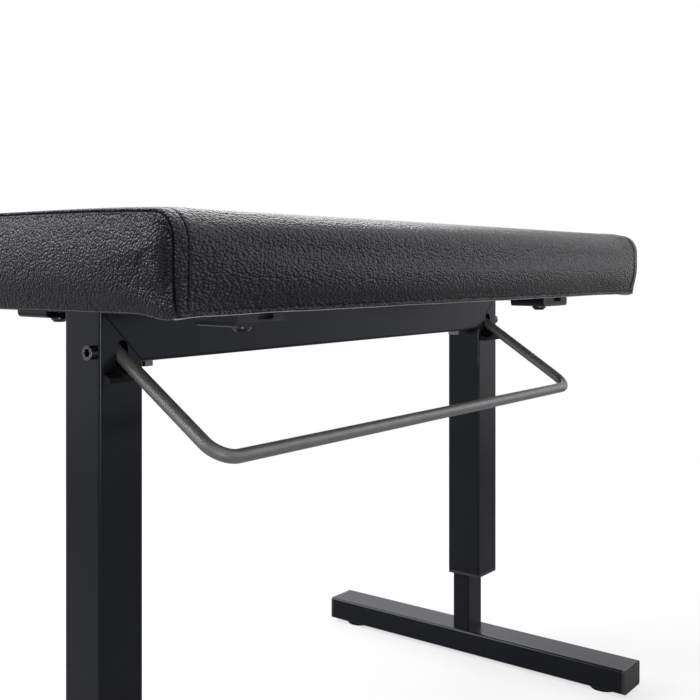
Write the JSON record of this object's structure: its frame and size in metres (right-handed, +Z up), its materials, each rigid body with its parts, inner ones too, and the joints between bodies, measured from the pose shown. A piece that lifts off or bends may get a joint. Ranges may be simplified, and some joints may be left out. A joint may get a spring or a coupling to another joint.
{
  "type": "keyboard bench",
  "caption": "Padded keyboard bench with a sewn black seat on a square-tube frame, telescopic legs on cross feet and a bent release lever under the seat's front edge.",
  "frame": {"origin": "centre of the bench on the floor", "axes": "+X along the seat's length, -Y towards the release lever, +Z up"},
  "size_m": [0.6902, 0.38, 0.478],
  "materials": {
    "frame_black": "satin black powder coat",
    "carrier_black": "satin black powder coat",
    "leatherette": "fine grained black leatherette",
    "foam": "open-cell foam",
    "plywood": "unfinished plywood",
    "lever_steel": "dark grey hammered lacquer",
    "black_screws": "black oxide",
    "zinc_steel": "zinc plated",
    "latch_steel": "bare cut steel",
    "black_plastic": "fine textured moulding",
    "black_rubber": "matt"
  },
  "bodies": {
    "frame": {"beam": "frame_black", "outer_leg_left": "frame_black", "outer_leg_right": "frame_black", "seat_carrier_left": "carrier_black", "seat_carrier_right": "carrier_black", "carrier_plugs": "black_plastic", "carrier_bolts": "black_screws", "beam_bolts": "zinc_steel", "carrier_nuts": "zinc_steel", "beam_nuts": "zinc_steel", "seat_board": "plywood", "seat_foam": "foam", "cover_main": "leatherette", "cover_end_left": "leatherette", "cover_end_right": "leatherette", "lever_rest_left": "black_rubber", "lever_rest_right": "black_rubber", "leg_bush_left": "black_plastic", "leg_bush_right": "black_plastic"},
    "lever": {"lever_bar": "lever_steel", "pivot_screws": "black_screws", "pivot_spacers": "zinc_steel"},
    "link_left": {"latch_link_left": "latch_steel"},
    "latch_left": {"latch_bolt_left": "latch_steel"},
    "leg_left": {"inner_leg_left": "frame_black", "leg_glide_left": "black_plastic", "foot_left": "frame_black", "foot_caps_left": "black_plastic", "foot_pads_left": "black_rubber"},
    "link_right": {"latch_link_right": "latch_steel"},
    "latch_right": {"latch_bolt_right": "latch_steel"},
    "leg_right": {"inner_leg_right": "frame_black", "leg_glide_right": "black_plastic", "foot_right": "frame_black", "foot_caps_right": "black_plastic", "foot_pads_right": "black_rubber"}
  },
  "joints": [
    {"name": "lever_lift", "type": "hinge", "parent": "frame", "child": "lever", "pos_m": [0, -0.0135, 0.379], "axis": [-1, 0, 0], "range_deg": [0, 20]},
    {"name": "link_left_slide", "type": "slide", "parent": "frame", "child": "link_left", "axis": [0, 0, -1], "range_m": [0, 0.0053]},
    {"name": "latch_left_slide", "type": "slide", "parent": "frame", "child": "latch_left", "axis": [0, -1, 0], "range_m": [0, 0.0053]},
    {"name": "leg_left_slide", "type": "slide", "parent": "frame", "child": "leg_left", "axis": [0, 0, -1], "range_m": [0, 0.12]},
    {"name": "link_right_slide", "type": "slide", "parent": "frame", "child": "link_right", "axis": [0, 0, -1], "range_m": [0, 0.0053]},
    {"name": "latch_right_slide", "type": "slide", "parent": "frame", "child": "latch_right", "axis": [0, -1, 0], "range_m": [0, 0.0053]},
    {"name": "leg_right_slide", "type": "slide", "parent": "frame", "child": "leg_right", "axis": [0, 0, -1], "range_m": [0, 0.12]}
  ],
  "couplings": [
    {"joint": "link_left_slide", "follows": "lever_lift", "m_per_rad": 0.015094},
    {"joint": "latch_left_slide", "follows": "lever_lift", "m_per_rad": 0.015094},
    {"joint": "link_right_slide", "follows": "lever_lift", "m_per_rad": 0.015094},
    {"joint": "latch_right_slide", "follows": "lever_lift", "m_per_rad": 0.015094}
  ]
}
